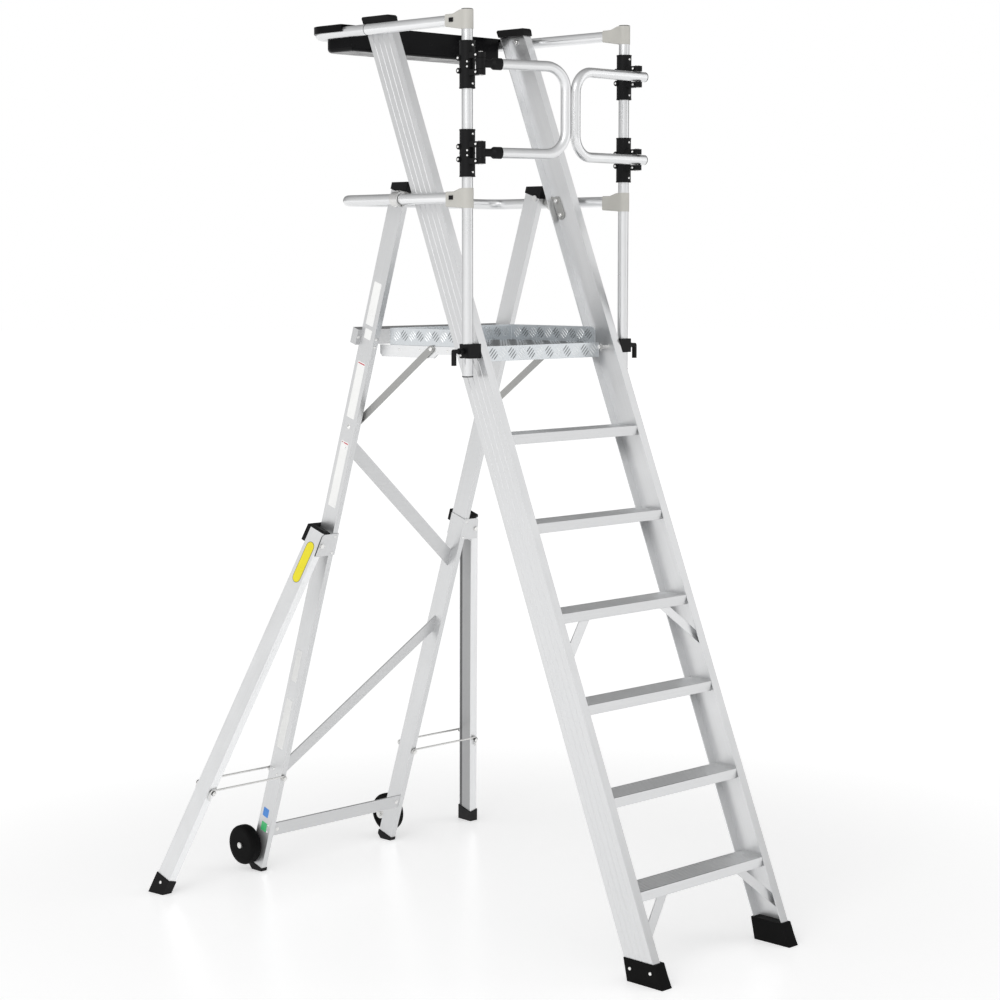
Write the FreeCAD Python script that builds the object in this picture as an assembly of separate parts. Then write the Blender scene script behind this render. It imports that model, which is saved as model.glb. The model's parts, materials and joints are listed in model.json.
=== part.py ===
import FreeCAD, Part
import math
import os

# Folding platform step ladder: a stile ladder with six treads, a work platform with a
# guard rail and two gates, and a braced rear frame with wheels and outriggers.
# Millimetres. +X is to the climber's right, +Y points from the treads to the rear
# frame and +Z is up. Positions are worked out with Y = 0 at the stiles' front edge on
# the floor, and save() moves every piece so that the origin is under the middle.

V = FreeCAD.Vector
os.makedirs("parts", exist_ok=True)

# ---------------------------------------------------------------- driving dimensions
RISER = 250.0
TREAD_COUNT = 6
TREAD_HEIGHT = 29.0
TREAD_DEPTH = 94.0
TREAD_SKIN = 2.5
TREAD_LIP = 12.0
BRACE_THICK = 3.0
PLATFORM_TOP = (TREAD_COUNT + 1) * RISER
GUARD_HEIGHT = 950.0
TUBE_R = 16.0
TUBE_WALL = 2.0
FIT = 0.05

STILE_ANGLE = math.radians(21.95)
STILE_LEAN = math.tan(STILE_ANGLE)
STILE_OUT = 301.0
STILE_TIP = 271.0
STILE_DEPTH = 107.6
STILE_WEB = 3.0
STILE_FLANGE = 3.2
STILE_BOTTOM = 12.0
STILE_TOP = 2704.0
CAP_TOP = 2727.0

LEG_ANGLE_DEG = 18.0
LEG_ANGLE = math.radians(LEG_ANGLE_DEG)
LEG_IN = 277.0
LEG_OUT = 297.0
LEG_HALF_DEPTH = 31.0
LEG_WALL = 2.5
LEG_CENTRE_AT_FLOOR = 1773.3

POST_X = 334.0
POST_Y = 723.0
POST_BOTTOM = 1666.0
POST_TOP = 2706.0
FITTING_R = 18.0
UPPER_RAIL_Z = PLATFORM_TOP + GUARD_HEIGHT - TUBE_R
LOWER_RAIL_Z = 2180.5
RAIL_BEND = 60.0
UPPER_SEAM_Y = 1150.0
LOWER_SEAM_Y = 1017.0
UPPER_REAR_Y = 1400.0
LOWER_REAR_Y = 1278.0

GATE_PIN_Y = 668.0
GATE_TUBE_R = 15.0
GATE_UPPER_Z = 2556.0
GATE_LOWER_Z = 2306.0
GATE_REACH = 275.0
GATE_BEND = 65.0
GATE_PIN_R = 4.0
FORK_GAP = GATE_TUBE_R + 0.8
FORK_THICK = 16.0
LEFT_GATE_SWING_DEG = 18.0
COLLAR_R = 22.5
COLLAR_HEIGHT = 135.0
LEVER_Z = 1740.0
LEVER_STUB_X = 368.0
LEVER_STUB_R = 5.0
LEVER_OUT = 394.0

FOLD_Y, FOLD_Z = 1045.0, 2195.0
FOLD_BOLTS = [(950.0, 2142.0), (969.0, 2186.0)]
FOLD_PIN_R = 6.0
PLATE_THICK = 4.0
PLATE_IN, PLATE_OUT = STILE_OUT - STILE_WEB - PLATE_THICK, STILE_OUT - STILE_WEB
LINK_IN = 299.7
DECK_PIN_Y, DECK_PIN_Z = 757.0, 1735.0
STRUT_TOP_Y, STRUT_TOP_Z = 948.0, 1738.0
STRUT_FOOT_Y, STRUT_FOOT_Z = 1287.0, 1496.0
STRUT_IN, STRUT_OUT = 265.0, 269.5
DECK_HALF = 262.0
DECK_FRONT, DECK_REAR = 755.0, 1135.0
DECK_SKIN = 4.0
TOE_BOARD = 48.0
RAIL_IN, RAIL_OUT = 257.0, 264.0
DECK_RAIL_REAR = 1178.0

WHEEL_Y, WHEEL_Z = 1797.0, 85.5
WHEEL_R = 65.5
WHEEL_IN, WHEEL_OUT = 298.2, 337.0

OUTRIGGER_X = 335.0
OUTRIGGER_HINGE = 1125.0 / math.cos(LEG_ANGLE)
OUTRIGGER_SPLAY_DEG = 16.4
STAY_S = 340.0 / math.cos(LEG_ANGLE)
STAY_OUTER_X = OUTRIGGER_X + (OUTRIGGER_HINGE - STAY_S) * math.tan(math.radians(OUTRIGGER_SPLAY_DEG))

BOOT_TOE_Y = -10.5
MIDDLE_Y = (BOOT_TOE_Y + WHEEL_Y + WHEEL_R) / 2.0


# ------------------------------------------------------------------------ helpers
def box(x0, x1, y0, y1, z0, z1):
    return Part.makeBox(x1 - x0, y1 - y0, z1 - z0, V(x0, y0, z0))


def prism(points, along):
    """A closed polygon pushed along a vector."""
    return Part.Face(Part.makePolygon(points + [points[0]])).extrude(along)


def plate_x(outline, x0, x1):
    """An outline in (y, z), extruded along X."""
    return prism([V(x0, y, z) for y, z in outline], V(x1 - x0, 0, 0))


def plate_y(outline, y0, y1):
    """An outline in (x, z), extruded along Y."""
    return prism([V(x, y0, z) for x, z in outline], V(0, y1 - y0, 0))


def rod(start, end, radius):
    along = end - start
    return Part.makeCylinder(radius, along.Length, start, along)


def link_x(centres, radius, x0, x1):
    """A plate that joins round ends at the (y, z) centres, from x0 to x1."""
    shape = None
    for y, z in centres:
        disc = rod(V(x0, y, z), V(x1, y, z), radius)
        shape = disc if shape is None else shape.fuse(disc)
    for (y0, z0), (y1, z1) in zip(centres, centres[1:]):
        length = math.hypot(y1 - y0, z1 - z0)
        side_y, side_z = -(z1 - z0) / length * radius, (y1 - y0) / length * radius
        outline = [(y0 + side_y, z0 + side_z), (y1 + side_y, z1 + side_z),
                   (y1 - side_y, z1 - side_z), (y0 - side_y, z0 - side_z)]
        shape = shape.fuse(plate_x(outline, x0, x1))
    return shape.removeSplitter()


def path(points, bend):
    """A wire through the points, with an arc of radius bend at every corner."""
    edges = []
    start = points[0]
    for before, corner, after in zip(points, points[1:], points[2:]):
        inward = (corner - before).normalize()
        outward = (after - corner).normalize()
        half_turn = inward.getAngle(outward) / 2.0
        set_back = bend * math.tan(half_turn)
        first = corner - inward * set_back
        last = corner + outward * set_back
        centre_way = (outward - inward).normalize()
        centre = corner + centre_way * (bend / math.cos(half_turn))
        middle = centre - centre_way * bend
        edges.append(Part.LineSegment(start, first).toShape())
        edges.append(Part.Arc(first, middle, last).toShape())
        start = last
    edges.append(Part.LineSegment(start, points[-1]).toShape())
    return Part.Wire(edges)


def bent_rod(points, bend, radius):
    wire = path(points, bend)
    circle = Part.Circle(points[0], points[1] - points[0], radius).toShape()
    return wire.makePipeShell([Part.Wire([circle])], True, False)


def bent_tube(points, bend, radius, wall):
    return bent_rod(points, bend, radius).cut(bent_rod(points, bend, radius - wall))


def tube(start, end, radius, wall):
    return rod(start, end, radius).cut(rod(start, end, radius - wall))


def mirrored(shape):
    return shape.mirror(V(0, 0, 0), V(1, 0, 0))


def both(shape):
    return [shape, mirrored(shape)]


def fuse(shapes):
    return shapes[0].fuse(shapes[1:]).removeSplitter()


def stand(shape):
    """Tilt a shape drawn upright about the leg's centre line onto the rear frame."""
    turned = shape.copy()
    turned.rotate(V(0, 0, 0), V(1, 0, 0), LEG_ANGLE_DEG)
    turned.translate(V(0, LEG_CENTRE_AT_FLOOR, 0))
    return turned


def stile_front(z):
    return STILE_LEAN * z


def save(name, solids):
    shape = Part.makeCompound(solids) if len(solids) > 1 else solids[0]
    moved = shape.copy()
    moved.translate(V(0, -MIDDLE_Y, 0))
    moved.exportStep("parts/" + name + ".step")
    print(name, len(moved.Solids), "valid" if moved.isValid() else "NOT VALID", round(moved.Volume))


# ------------------------------------------------------------------ stiles and boots
def stile_section():
    """The channel's outline at the floor, with shallow grooves down its outer face."""
    groove_depth = 1.0
    groove_width = 5.0
    groove_pitch = STILE_DEPTH / 5.0
    outline = [(STILE_TIP, 0.0), (STILE_OUT, 0.0)]
    for index in range(1, 5):
        centre = index * groove_pitch
        outline += [(STILE_OUT, centre - groove_width / 2), (STILE_OUT - groove_depth, centre - 1.5),
                    (STILE_OUT - groove_depth, centre + 1.5), (STILE_OUT, centre + groove_width / 2)]
    outline += [(STILE_OUT, STILE_DEPTH), (STILE_TIP, STILE_DEPTH),
                (STILE_TIP, STILE_DEPTH - STILE_FLANGE), (STILE_OUT - STILE_WEB, STILE_DEPTH - STILE_FLANGE),
                (STILE_OUT - STILE_WEB, STILE_FLANGE), (STILE_TIP, STILE_FLANGE)]
    return outline


def leaning(outline, z0, z1):
    """A level (x, y) outline that follows the stile's lean from z0 to z1."""
    points = [V(x, y + stile_front(z0), z0) for x, y in outline]
    return prism(points, V(0, STILE_LEAN * (z1 - z0), z1 - z0))


def right_stile():
    stile = leaning(stile_section(), STILE_BOTTOM, STILE_TOP)
    pin = rod(V(STILE_TIP, DECK_PIN_Y, DECK_PIN_Z), V(STILE_OUT + 1, DECK_PIN_Y, DECK_PIN_Z), 6.0 + FIT)
    plate_notch = box(PLATE_IN - 0.5, PLATE_OUT, 960.0, 1000.0, 2173.0, 2201.0)
    return stile.cut(pin).cut(plate_notch)


def boot_solid():
    """The rubber boot: it flares to a toe at the front and holds the channel's end."""
    toe_inner, toe_outer = 262.0, 303.5
    outline = [(BOOT_TOE_Y, 0.0), (120.0, 0.0), (134.5, 66.0), (19.0, 66.0), (6.0, 34.0), (-6.0, 8.0)]
    return plate_x(outline, toe_inner, toe_outer).cut(leaning(stile_section(), STILE_BOTTOM, 90.0))


def cap_solid():
    outline = [(1086.0, STILE_TOP), (1201.0, STILE_TOP), (1209.0, 2721.0), (1207.0, CAP_TOP),
               (1095.0, CAP_TOP), (1090.0, 2722.0)]
    cap = plate_x(outline, STILE_TIP - 3.0, STILE_OUT + 3.0)
    edges = [edge for edge in cap.Edges if edge.BoundBox.ZMin > CAP_TOP - 0.1 and edge.BoundBox.YLength > 50]
    return cap.makeFillet(3.0, edges)


# --------------------------------------------------------------------------- treads
def tread_outline(y0, y1, top, grooved):
    """An open box section seen from the side, with grooves along its top face."""
    bottom = top - TREAD_HEIGHT
    outline = [(y0, bottom), (y0, top)]
    if grooved:
        groove_count = 8
        pitch = (y1 - y0) / (groove_count + 1)
        for index in range(1, groove_count + 1):
            centre = y0 + index * pitch
            bed = top - 1.2
            outline += [(centre - 2.5, top), (centre - 1.5, bed), (centre + 1.5, bed), (centre + 2.5, top)]
    outline += [(y1, top), (y1, bottom), (y1 - TREAD_LIP, bottom), (y1 - TREAD_LIP, bottom + TREAD_SKIN),
                (y1 - TREAD_SKIN, bottom + TREAD_SKIN), (y1 - TREAD_SKIN, top - TREAD_SKIN),
                (y0 + TREAD_SKIN, top - TREAD_SKIN), (y0 + TREAD_SKIN, bottom + TREAD_SKIN),
                (y0 + TREAD_LIP, bottom + TREAD_SKIN), (y0 + TREAD_LIP, bottom)]
    return outline


def tread(number):
    top = number * RISER
    front = stile_front(top)
    between_tips = plate_x(tread_outline(front, front + TREAD_DEPTH, top, True), -STILE_TIP, STILE_TIP)
    inner = STILE_OUT - STILE_WEB
    end_front = front + STILE_FLANGE + 0.5
    end_rear = front + TREAD_DEPTH - 2.0
    tongue = plate_x(tread_outline(end_front, end_rear, top, False), STILE_TIP, inner)
    return fuse([between_tips, tongue, mirrored(tongue)])


def tread_brace(number):
    """A flat bar from under a tread's front lip down to the stile's web, leaning with the stile."""
    under = number * RISER - TREAD_HEIGHT
    web = STILE_OUT - STILE_WEB
    set_back = STILE_LEAN * TREAD_HEIGHT + 2.0
    outline = [(155.0, under), (198.0, under), (web, under - 90.0), (web, under - 128.0)]
    points = [V(x, stile_front(z) + set_back, z) for x, z in outline]
    return prism(points, V(0, BRACE_THICK, 0))


# ------------------------------------------------------------- posts and guard rail
def post():
    return tube(V(POST_X, POST_Y, POST_BOTTOM), V(POST_X, POST_Y, POST_TOP), TUBE_R, TUBE_WALL)


def rail_fitting(low, high, axis_z, arm_end, below):
    """A sleeve round a post with a tapering arm that takes a rail's end.

    The arm's end stands a little above the rail and reaches below its axis by the last number."""
    sleeve = rod(V(POST_X, POST_Y, low), V(POST_X, POST_Y, high), FITTING_R)
    flank_y = POST_Y + FITTING_R
    crest = axis_z + TUBE_R + 1.5
    outline = [(POST_Y, low + 1.0), (POST_Y, high - 1.0), (flank_y, high - 1.0), (flank_y + 26.0, crest),
               (arm_end, crest), (arm_end, axis_z - below), (flank_y, low + 1.0)]
    arm = plate_x(outline, POST_X - FITTING_R, POST_X + FITTING_R)
    lengthwise = [edge for edge in arm.Edges if edge.BoundBox.XLength < 1 and edge.BoundBox.YLength > 10
                  and edge.BoundBox.YMin > flank_y - 1]
    shape = fuse([sleeve, arm.makeFillet(5.0, lengthwise)])
    rail_bore = rod(V(POST_X, POST_Y + TUBE_R + 2, axis_z), V(POST_X, arm_end + 5, axis_z), TUBE_R)
    return shape.cut(rail_bore)


def elbow():
    """The closed fitting at the top of a post."""
    shape = rail_fitting(2656.0, 2711.0, UPPER_RAIL_Z, 797.0, 18.0)
    return shape.cut(rod(V(POST_X, POST_Y, 2650.0), V(POST_X, POST_Y, POST_TOP), TUBE_R))


def tee():
    """The fitting that carries the lower rail at the middle of a post."""
    shape = rail_fitting(2150.0, 2207.0, LOWER_RAIL_Z, 795.0, 26.0)
    return shape.cut(rod(V(POST_X, POST_Y, 2140.0), V(POST_X, POST_Y, 2215.0), TUBE_R))


def rail_arm(z, seam):
    return tube(V(POST_X, POST_Y + TUBE_R + 2, z), V(POST_X, seam, z), TUBE_R, TUBE_WALL)


def rail_loop(z, seam, rear):
    points = [V(POST_X, seam, z), V(POST_X, rear, z), V(-POST_X, rear, z), V(-POST_X, seam, z)]
    return bent_tube(points, RAIL_BEND, TUBE_R, TUBE_WALL)


def ring_clamp():
    """The ring over the lower rail's joint, with a lug that hangs on the fold pin."""
    front, rear, ring_r = 1003.0, 1033.0, 22.5
    ring = rod(V(POST_X, front, LOWER_RAIL_Z), V(POST_X, rear, LOWER_RAIL_Z), ring_r)
    lug = link_x([(1018.0, LOWER_RAIL_Z), (FOLD_Y, FOLD_Z)], 12.0, 304.0, 313.0)
    shape = fuse([ring, lug])
    shape = shape.cut(rod(V(POST_X, front - 5, LOWER_RAIL_Z), V(POST_X, rear + 5, LOWER_RAIL_Z), TUBE_R))
    slot = box(POST_X - 3, POST_X + 3, front - 5, rear + 5, LOWER_RAIL_Z - 30, LOWER_RAIL_Z - 10)
    bore = rod(V(300.0, FOLD_Y, FOLD_Z), V(320.0, FOLD_Y, FOLD_Z), FOLD_PIN_R + FIT)
    return shape.cut(slot).cut(bore)


def side_plug(y, z):
    """A square-ended plug on the outer side of a fitting."""
    face = POST_X + FITTING_R
    return box(face, face + 2.5, y - 8.0, y + 8.0, z - 6.0, z + 6.0)


def rail_bolt():
    """The spacer and bolt between a stile's top and the upper rail."""
    y, z = 1147.0, UPPER_RAIL_Z + 4.0
    spacer = rod(V(STILE_OUT, y, z), V(POST_X - TUBE_R + 1.0, y, z), 10.0)
    head = rod(V(STILE_OUT - STILE_WEB - 4.0, y, z), V(STILE_OUT - STILE_WEB, y, z), 8.0)
    cutter = rod(V(POST_X, y - 30, UPPER_RAIL_Z), V(POST_X, y + 30, UPPER_RAIL_Z), TUBE_R)
    return [spacer.cut(cutter), head]


# ------------------------------------------------------------------------ gates
def gate_collar(z):
    """A sleeve on a post with two forks ahead of it for the gate's vertical pin."""
    half = COLLAR_HEIGHT / 2
    shape = rod(V(POST_X, POST_Y, z - half), V(POST_X, POST_Y, z + half), COLLAR_R)
    pin_hole = rod(V(POST_X, GATE_PIN_Y, z - half), V(POST_X, GATE_PIN_Y, z + half), GATE_PIN_R)
    for side in (-1, 1):
        low = z + side * (FORK_GAP + FORK_THICK / 2) - FORK_THICK / 2
        arm = box(POST_X - 14, POST_X + 14, GATE_PIN_Y, POST_Y, low, low + FORK_THICK)
        nose = rod(V(POST_X, GATE_PIN_Y, low), V(POST_X, GATE_PIN_Y, low + FORK_THICK), 14.0)
        shape = fuse([shape, arm, nose])
    shape = shape.cut(rod(V(POST_X, POST_Y, z - half - 5), V(POST_X, POST_Y, z + half + 5), TUBE_R))
    return shape.cut(pin_hole)


def gate_pin(z):
    reach = FORK_GAP + FORK_THICK
    head_r, head_high = 7.0, 2.0
    pin = rod(V(POST_X, GATE_PIN_Y, z - reach), V(POST_X, GATE_PIN_Y, z + reach), GATE_PIN_R)
    top = rod(V(POST_X, GATE_PIN_Y, z + reach), V(POST_X, GATE_PIN_Y, z + reach + head_high), head_r)
    bottom = rod(V(POST_X, GATE_PIN_Y, z - reach - head_high), V(POST_X, GATE_PIN_Y, z - reach), head_r)
    return fuse([pin, top, bottom])


def gate_loop(start):
    """The gate's D of tube. start is how far from the pin the tube begins, outward negative."""
    near = POST_X - start
    far = POST_X - GATE_REACH
    points = [V(near, GATE_PIN_Y, GATE_UPPER_Z), V(far, GATE_PIN_Y, GATE_UPPER_Z),
              V(far, GATE_PIN_Y, GATE_LOWER_Z), V(near, GATE_PIN_Y, GATE_LOWER_Z)]
    return bent_tube(points, GATE_BEND, GATE_TUBE_R, TUBE_WALL)


def pin_bore():
    below, above = GATE_LOWER_Z - 60, GATE_UPPER_Z + 60
    return rod(V(POST_X, GATE_PIN_Y, below), V(POST_X, GATE_PIN_Y, above), GATE_PIN_R + FIT)


def pointed_plug(z):
    end = POST_X + 30.0
    skirt = rod(V(end, GATE_PIN_Y, z), V(end + 3.0, GATE_PIN_Y, z), GATE_TUBE_R)
    cone = Part.makeCone(12.0, 3.0, 9.0, V(end + 3.0, GATE_PIN_Y, z), V(1, 0, 0))
    return fuse([skirt, cone])


def gate_socket(z):
    """The moulding that holds a gate tube's end on its pin."""
    barrel = rod(V(POST_X, GATE_PIN_Y, z - GATE_TUBE_R), V(POST_X, GATE_PIN_Y, z + GATE_TUBE_R), 14.0)
    inward = V(-1, 0, 0)
    neck = rod(V(POST_X - 8, GATE_PIN_Y, z), V(POST_X - 44, GATE_PIN_Y, z), 11.5)
    cup = rod(V(POST_X - 40, GATE_PIN_Y, z), V(POST_X - 64, GATE_PIN_Y, z), 17.0)
    flare = Part.makeCone(11.5, 17.0, 8.0, V(POST_X - 32, GATE_PIN_Y, z), inward)
    shape = fuse([barrel, neck, flare, cup])
    shape = shape.cut(rod(V(POST_X - 44, GATE_PIN_Y, z), V(POST_X - 70, GATE_PIN_Y, z), GATE_TUBE_R))
    return shape.cut(pin_bore())


def swung(shape):
    """The left gate stands open, turned outward about its pin."""
    turned = mirrored(shape)
    turned.rotate(V(-POST_X, GATE_PIN_Y, 0), V(0, 0, 1), -LEFT_GATE_SWING_DEG)
    return turned


# -------------------------------------------------------------------- fixed fittings
def post_clamp():
    """The moulding that grips a post's foot on the stile, with the lever's stub pin."""
    outer = POST_X + TUBE_R + 1.5
    block = box(STILE_OUT, outer, POST_Y - 22, POST_Y + 18, 1719.0, 1761.0)
    block = block.makeFillet(4.0, [edge for edge in block.Edges if edge.BoundBox.XMin > outer - 1])
    block = block.cut(rod(V(POST_X, POST_Y, 1700.0), V(POST_X, POST_Y, 1780.0), TUBE_R))
    stub = rod(V(outer - 1, POST_Y, LEVER_Z), V(LEVER_STUB_X, POST_Y, LEVER_Z), LEVER_STUB_R)
    return fuse([block, stub])


def clamp_lever():
    """An arm that comes out from the clamp's side and turns down into a handle."""
    hub = rod(V(LEVER_STUB_X - 14, POST_Y, LEVER_Z), V(LEVER_STUB_X + 2, POST_Y, LEVER_Z), 9.0)
    half = 5.5
    arm = box(LEVER_STUB_X - 2, LEVER_OUT, POST_Y - half, POST_Y + half, LEVER_Z - 6, LEVER_Z + 6)
    handle = box(LEVER_OUT - 10, LEVER_OUT, POST_Y - half, POST_Y + half, LEVER_Z - 41, LEVER_Z + 6)
    grip = fuse([arm, handle])
    shoulder = [edge for edge in grip.Edges
                if edge.BoundBox.XMin > LEVER_OUT - 1 and edge.BoundBox.ZMin > LEVER_Z + 5]
    lever = fuse([hub, grip.makeFillet(8.0, shoulder)])
    bore = rod(V(POST_X, POST_Y, LEVER_Z), V(LEVER_STUB_X + 0.5, POST_Y, LEVER_Z), LEVER_STUB_R + FIT)
    return lever.cut(bore)


def fold_plate():
    """A stepped plate: bolted to the stile's web inside, it takes the fold pin outside the leg."""
    neck_y, neck_z, step_y = 1010.0, 2188.0, 997.0
    link_out = LINK_IN + PLATE_THICK
    inside = link_x(FOLD_BOLTS, 14.5, PLATE_IN, PLATE_OUT)
    neck = link_x([FOLD_BOLTS[1], (neck_y - 8, neck_z)], 11.5, PLATE_IN, PLATE_OUT)
    step = box(PLATE_IN, link_out, step_y, neck_y, neck_z - 10, neck_z + 10)
    link = link_x([(neck_y, neck_z), (FOLD_Y, FOLD_Z)], 13.0, LINK_IN, link_out)
    bore = rod(V(LINK_IN - 1, FOLD_Y, FOLD_Z), V(link_out + 1, FOLD_Y, FOLD_Z), FOLD_PIN_R + FIT)
    return fuse([inside, neck, step, link]).cut(bore)


def stile_rivets():
    """The fold plate's bolt heads and the rivets of a boot."""
    rivets = []
    for y, z in FOLD_BOLTS:
        rivets.append(rod(V(PLATE_IN - 4, y, z), V(PLATE_IN, y, z), 7.0))
    for y, z in ((109.0, 38.5), (33.5, 40.0)):
        rivets.append(rod(V(303.5, y, z), V(305.5, y, z), 5.0))
    return rivets


def tool_tray():
    """A hopper between the upper rails, hung by a rim over the tubes."""
    front, rear = 1245.0, 1380.0
    floor_z, wall = 2630.0, 3.0
    half = 312.0
    body = box(-half, half, front, rear, floor_z, 2702.5)
    uprights = [edge for edge in body.Edges if edge.BoundBox.ZLength > 50 and edge.BoundBox.YMin > rear - 1]
    body = body.makeFillet(39.0, uprights)
    under = [edge for edge in body.Edges if edge.BoundBox.ZMax < floor_z + 0.1]
    body = body.makeFillet(12.0, under)
    rim_half, rim_rear = 354.0, 1420.0
    rim = box(-rim_half, rim_half, front, rim_rear, UPPER_RAIL_Z, 2706.0)
    corners = [edge for edge in rim.Edges if edge.BoundBox.ZLength > 20 and edge.BoundBox.YMin > rim_rear - 1]
    rim = rim.makeFillet(79.0, corners)
    under_rim = box(-rim_half + 3.5, rim_half - 3.5, front - 1, rim_rear - 3.5, UPPER_RAIL_Z - 1, 2702.5)
    corners = [edge for edge in under_rim.Edges
               if edge.BoundBox.ZLength > 15 and edge.BoundBox.YMin > rim_rear - 4.5]
    rim = rim.cut(under_rim.makeFillet(75.5, corners))
    shape = rim.fuse(body)
    hollow = box(-half + wall, half - wall, front + wall, rear - wall, floor_z + wall, 2720.0)
    uprights = [edge for edge in hollow.Edges if edge.BoundBox.ZLength > 50 and edge.BoundBox.YMin > rear - 4]
    hollow = hollow.makeFillet(36.0, uprights)
    under = [edge for edge in hollow.Edges if edge.BoundBox.ZMax < floor_z + wall + 0.1]
    return shape.cut(hollow.makeFillet(9.0, under)).removeSplitter()


# ---------------------------------------------------------------------- rear frame
def rear_leg():
    outer = stand(box(LEG_IN, LEG_OUT, -LEG_HALF_DEPTH, LEG_HALF_DEPTH, 22.0, 2400.0))
    hollow = stand(box(LEG_IN + LEG_WALL, LEG_OUT - LEG_WALL, -LEG_HALF_DEPTH + LEG_WALL,
                       LEG_HALF_DEPTH - LEG_WALL, 20.0, 2410.0))
    above = box(LEG_IN - 5, LEG_OUT + 5, 900.0, 1200.0, 2228.0, 2400.0)
    leg = outer.cut(hollow).cut(above)
    for y, z, radius in ((FOLD_Y, FOLD_Z, 6.0), (STRUT_FOOT_Y, STRUT_FOOT_Z, 5.0)):
        leg = leg.cut(rod(V(LEG_IN - 5, y, z), V(LEG_OUT + 5, y, z), radius))
    stay_bolt = rod(V(287.0, -60.0, STAY_S), V(287.0, 60.0, STAY_S), 4.0)
    return leg.cut(stand(stay_bolt))


def leg_envelope():
    return stand(box(LEG_IN, LEG_OUT, -LEG_HALF_DEPTH, LEG_HALF_DEPTH, 22.0, 2400.0))


def leg_cap():
    wall = 2.5
    half = LEG_HALF_DEPTH + wall
    shell = stand(box(LEG_IN - wall, LEG_OUT + wall, -half, half, 2317.0, 2400.0))
    above = box(LEG_IN - 10, LEG_OUT + 10, 900.0, 1200.0, 2233.0, 2450.0)
    inside = leg_envelope().cut(box(LEG_IN - 10, LEG_OUT + 10, 900.0, 1200.0, 2228.0, 2450.0))
    bore = rod(V(LEG_IN - 10, FOLD_Y, FOLD_Z), V(LEG_OUT + 10, FOLD_Y, FOLD_Z), 10.0)
    return shell.cut(above).cut(inside).cut(bore)


def leg_foot():
    shoe = stand(box(LEG_IN - 3, LEG_OUT + 1.0, -LEG_HALF_DEPTH - 2, LEG_HALF_DEPTH + 2, -40.0, 22.0))
    below = box(LEG_IN - 10, LEG_OUT + 10, 1650.0, 1900.0, -80.0, 0.0)
    heel_outline = [(1788.0, -1.0), (1830.0, -1.0), (1830.0, 22.0), (1809.0, 22.0)]
    heel = plate_x(heel_outline, LEG_IN - 10, LEG_OUT + 10)
    return shoe.cut(below).cut(heel)


def brace(left_z, right_z):
    """A flat bar across the rear frame, cut off upright at the legs' inner faces."""
    half, thick = 22.0, 2.5
    left_s = left_z / math.cos(LEG_ANGLE)
    right_s = right_z / math.cos(LEG_ANGLE)
    width = 2 * LEG_IN
    rise = half * math.hypot(width, right_s - left_s) / width
    outline = [(-LEG_IN, left_s - rise), (LEG_IN, right_s - rise),
               (LEG_IN, right_s + rise), (-LEG_IN, left_s + rise)]
    return stand(plate_y(outline, -thick, thick))


def bottom_crossbar():
    front = -LEG_HALF_DEPTH + 1.0
    return stand(box(-LEG_IN, LEG_IN, front, front + 5.0, 140.0, 187.0))


def rear_beam():
    """A shallow trough behind the legs, open to the rear."""
    low, high, reach = 1824.0, 1873.0, 311.0
    front, rear, skin = LEG_HALF_DEPTH, LEG_HALF_DEPTH + 25.0, 2.5
    bar = box(-reach, reach, front, rear, low, high)
    return stand(bar.cut(box(skin - reach, reach - skin, front + skin, rear + 1, low + skin, high - skin)))


def wheel_bracket():
    """A lug behind the leg's foot that carries the wheel's axle."""
    lug = link_x([(WHEEL_Y - 22, WHEEL_Z + 6), (WHEEL_Y, WHEEL_Z)], 17.0, LEG_IN + 2, LEG_OUT)
    lug = lug.cut(leg_envelope())
    solid = max(lug.Solids, key=lambda piece: piece.CenterOfMass.y)
    return solid.cut(rod(V(LEG_IN - 5, WHEEL_Y, WHEEL_Z), V(LEG_OUT + 5, WHEEL_Y, WHEEL_Z), 6.0))


def wheel_axle():
    shaft = rod(V(LEG_IN - 4, WHEEL_Y, WHEEL_Z), V(WHEEL_OUT + 3, WHEEL_Y, WHEEL_Z), 6.0)
    head = rod(V(WHEEL_OUT + 0.8, WHEEL_Y, WHEEL_Z), V(WHEEL_OUT + 5, WHEEL_Y, WHEEL_Z), 10.0)
    nut = rod(V(LEG_IN - 5, WHEEL_Y, WHEEL_Z), V(LEG_IN + 2, WHEEL_Y, WHEEL_Z), 9.0)
    return fuse([shaft, head, nut])


def wheel():
    """A solid wheel with flat sides and rounded shoulders."""
    half = (WHEEL_OUT - WHEEL_IN) / 2
    middle = (WHEEL_OUT + WHEEL_IN) / 2
    outline = [(6.0 + FIT, -half), (20.0, -half), (20.0, -half + 4), (48.0, -half + 4), (52.0, -half + 1),
               (58.0, -half + 1), (63.0, -half + 4), (WHEEL_R - 0.5, -half + 9), (WHEEL_R, 0),
               (WHEEL_R - 0.5, half - 9), (63.0, half - 4), (58.0, half - 1.2), (50.0, half), (6.0 + FIT, half)]
    points = [V(middle + x, WHEEL_Y, WHEEL_Z + r) for r, x in outline]
    face = Part.Face(Part.makePolygon(points + [points[0]]))
    return face.revolve(V(0, WHEEL_Y, WHEEL_Z), V(1, 0, 0), 360)


# ---------------------------------------------------------------------- outriggers
def splayed(shape):
    """Turn a shape drawn upright at the outrigger's hinge out to its splay, then stand it."""
    turned = shape.copy()
    turned.rotate(V(OUTRIGGER_X, 0, OUTRIGGER_HINGE), V(0, 1, 0), -OUTRIGGER_SPLAY_DEG)
    return stand(turned)


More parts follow.
